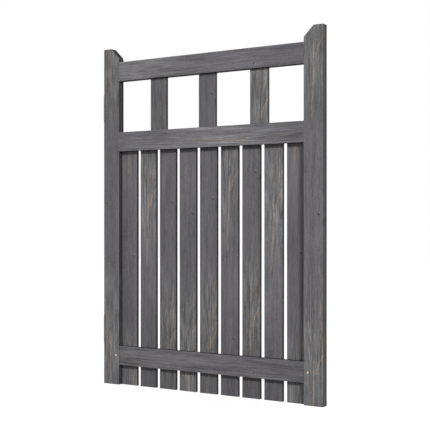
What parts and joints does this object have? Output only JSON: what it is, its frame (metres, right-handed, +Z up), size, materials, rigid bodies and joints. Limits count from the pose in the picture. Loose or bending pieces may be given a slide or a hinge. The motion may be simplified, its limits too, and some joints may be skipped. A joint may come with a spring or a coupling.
{
  "type": "garden gate",
  "caption": "Framed timber garden gate leaf with open upper windows, spaced vertical boards and two butt hinges that bolt to a post and let it swing.",
  "frame": {"origin": "middle of the outer face of the lower hinge's post flap, where it meets the post", "axes": "+X from the hinge side to the latch side, +Y from the gate's front to its back, +Z up"},
  "size_m": [0.9083, 0.0383, 1.23],
  "materials": {
    "stained_timber": "grey-stained planed softwood, matt, grain showing, tan where the stain has worn",
    "peg_wood": "bare pale hardwood, end grain",
    "zinc_screw": "zinc-plated, satin",
    "galvanised_steel": "galvanised, dull grey with faint spangle"
  },
  "bodies": {
    "post_side": {"lower_hinge_post_flap": "galvanised_steel", "lower_hinge_pin": "galvanised_steel", "upper_hinge_post_flap": "galvanised_steel", "upper_hinge_pin": "galvanised_steel"},
    "leaf": {"hinge_stile": "stained_timber", "latch_stile": "stained_timber", "top_rail": "stained_timber", "middle_rail": "stained_timber", "bottom_rail": "stained_timber", "picket_1": "stained_timber", "picket_2": "stained_timber", "picket_3": "stained_timber", "board_1": "stained_timber", "board_2": "stained_timber", "board_3": "stained_timber", "board_4": "stained_timber", "board_5": "stained_timber", "board_6": "stained_timber", "board_7": "stained_timber", "board_8": "stained_timber", "board_9": "stained_timber", "hinge_stile_peg": "peg_wood", "latch_stile_peg": "peg_wood", "board_screw_top_1": "zinc_screw", "board_screw_top_2": "zinc_screw", "board_screw_top_3": "zinc_screw", "board_screw_top_4": "zinc_screw", "board_screw_top_5": "zinc_screw", "board_screw_top_6": "zinc_screw", "board_screw_top_7": "zinc_screw", "board_screw_top_8": "zinc_screw", "board_screw_top_9": "zinc_screw", "board_screw_bottom_1": "zinc_screw", "board_screw_bottom_2": "zinc_screw", "board_screw_bottom_3": "zinc_screw", "board_screw_bottom_4": "zinc_screw", "board_screw_bottom_5": "zinc_screw", "board_screw_bottom_6": "zinc_screw", "board_screw_bottom_7": "zinc_screw", "board_screw_bottom_8": "zinc_screw", "board_screw_bottom_9": "zinc_screw", "lower_hinge_gate_flap": "galvanised_steel", "upper_hinge_gate_flap": "galvanised_steel", "lower_hinge_screw_1": "zinc_screw", "lower_hinge_screw_2": "zinc_screw", "lower_hinge_screw_3": "zinc_screw", "lower_hinge_screw_4": "zinc_screw", "upper_hinge_screw_1": "zinc_screw", "upper_hinge_screw_2": "zinc_screw", "upper_hinge_screw_3": "zinc_screw", "upper_hinge_screw_4": "zinc_screw"}
  },
  "joints": [
    {"name": "gate_swing", "type": "hinge", "parent": "post_side", "child": "leaf", "pos_m": [0.00295, 0.0153, 0], "axis": [0, 0, 1], "range_deg": [0, 180]}
  ]
}
